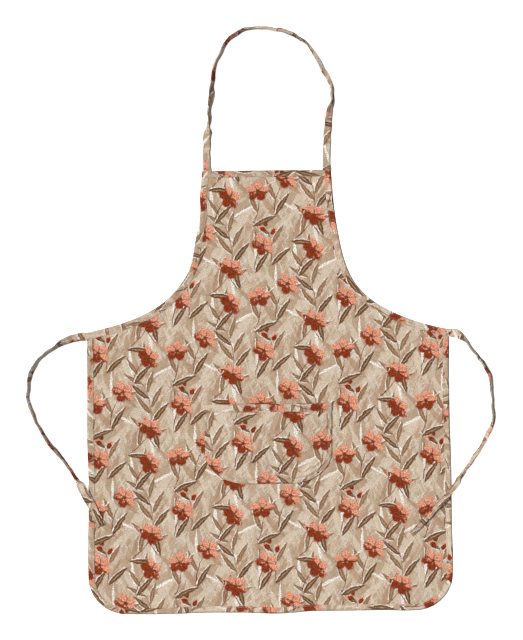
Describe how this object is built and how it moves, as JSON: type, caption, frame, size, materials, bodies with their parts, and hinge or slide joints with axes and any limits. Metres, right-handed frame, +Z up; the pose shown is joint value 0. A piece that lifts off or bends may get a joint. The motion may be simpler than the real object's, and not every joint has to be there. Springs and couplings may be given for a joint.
{
  "type": "kitchen apron",
  "caption": "Bib apron of floral printed cotton lying flat, with taped edges, a neck loop, waist ties and an open patch pocket, worn over clothes to keep them clean.",
  "frame": {"origin": "on the surface that the apron lies on, under the middle of the waist line", "axes": "+Y from the skirt towards the bib and neck loop, +X towards the apron's right edge as seen from the front, +Z up out of the printed front"},
  "size_m": [0.905, 1.1313, 0.019],
  "materials": {
    "panel_cloth": "matt plain-weave cotton with a floral print on beige",
    "pocket_cloth": "matt plain-weave cotton with a floral print on beige",
    "binding_tape": "folded tape of the same printed cotton, stitched along its inner edge",
    "strap_tape": "tape of the same printed cotton folded in four and stitched"
  },
  "bodies": {
    "root": {"panel": "panel_cloth", "skirt_binding": "binding_tape", "bib_binding": "binding_tape", "left_armhole_binding": "binding_tape", "right_armhole_binding": "binding_tape", "neck_strap": "strap_tape", "left_tie": "strap_tape", "right_tie": "strap_tape", "pocket": "pocket_cloth", "pocket_binding": "binding_tape"}
  },
  "joints": []
}
